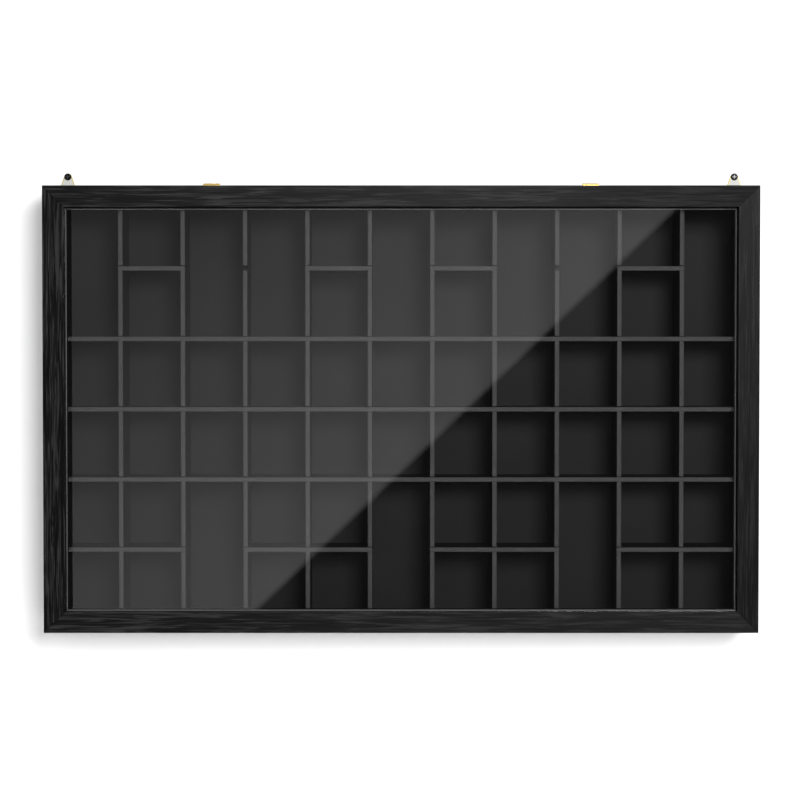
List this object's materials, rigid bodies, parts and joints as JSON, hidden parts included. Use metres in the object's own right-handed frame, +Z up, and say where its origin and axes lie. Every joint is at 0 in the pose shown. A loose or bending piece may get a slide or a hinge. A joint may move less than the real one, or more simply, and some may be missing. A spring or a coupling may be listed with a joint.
{
  "type": "wall display case",
  "caption": "Shallow wall-hung display case with a lift-up glazed door on top hinges and a grid of open compartments behind it.",
  "frame": {"origin": "on the wall plane, midway between the two wall screws", "axes": "+Z up, +Y into the wall, so the door faces -Y; +X along the case's width"},
  "size_m": [0.8, 0.1112, 0.5204],
  "materials": {
    "frame_foil": "black wood-grain foil, satin",
    "case_foil": "black wood-grain foil, satin",
    "bead_foil": "black painted moulding, satin",
    "grid_board": "black foiled board, matt",
    "back_board": "black faced hardboard, matt",
    "key_wood": "plain beech",
    "pane": "clear, polished",
    "brass": "bright",
    "brass_plate": "pale, rubbed",
    "black_screw": "black oxide",
    "steel": "zinc plated",
    "magnet": "nickel plated",
    "felt": "black felt"
  },
  "bodies": {
    "case": {"back_panel": "back_board", "back_panel_pins": "steel", "case_bottom_board": "case_foil", "case_corner_keys": "key_wood", "case_left_board": "case_foil", "case_right_board": "case_foil", "case_top_board": "case_foil", "catch_magnets": "magnet", "divider_01": "grid_board", "divider_02": "grid_board", "divider_03": "grid_board", "divider_04": "grid_board", "divider_05": "grid_board", "divider_06": "grid_board", "divider_07": "grid_board", "divider_08": "grid_board", "divider_09": "grid_board", "divider_10": "grid_board", "door_bumpers": "felt", "hanger_plate_screws": "brass", "hinge_case_screws": "brass", "left_end_board": "grid_board", "left_hanger_plate": "brass_plate", "left_hinge_case_leaf": "brass", "left_hinge_pin": "brass", "long_shelf_lower": "grid_board", "long_shelf_middle": "grid_board", "long_shelf_upper": "grid_board", "right_end_board": "grid_board", "right_hanger_plate": "brass_plate", "right_hinge_case_leaf": "brass", "right_hinge_pin": "brass", "short_shelf_bottom_row_1": "grid_board", "short_shelf_bottom_row_2": "grid_board", "short_shelf_bottom_row_3": "grid_board", "short_shelf_bottom_row_4": "grid_board", "short_shelf_top_row_1": "grid_board", "short_shelf_top_row_2": "grid_board", "short_shelf_top_row_3": "grid_board", "short_shelf_top_row_4": "grid_board", "wall_pads": "felt", "wall_screws": "black_screw"},
    "door": {"bead_brads": "steel", "bottom_bead": "bead_foil", "catch_strikes": "steel", "door_bottom_rail": "frame_foil", "door_corner_nails": "steel", "door_left_rail": "frame_foil", "door_pane": "pane", "door_right_rail": "frame_foil", "door_top_rail": "frame_foil", "hinge_door_screws": "brass", "left_bead": "bead_foil", "left_hinge_door_leaf": "brass", "right_bead": "bead_foil", "right_hinge_door_leaf": "brass", "top_bead": "bead_foil"}
  },
  "joints": [
    {"name": "door_hinge", "type": "hinge", "parent": "case", "child": "door", "pos_m": [0, -0.0637, -0.015], "axis": [-1, 0, 0], "range_deg": [0, 180]}
  ]
}
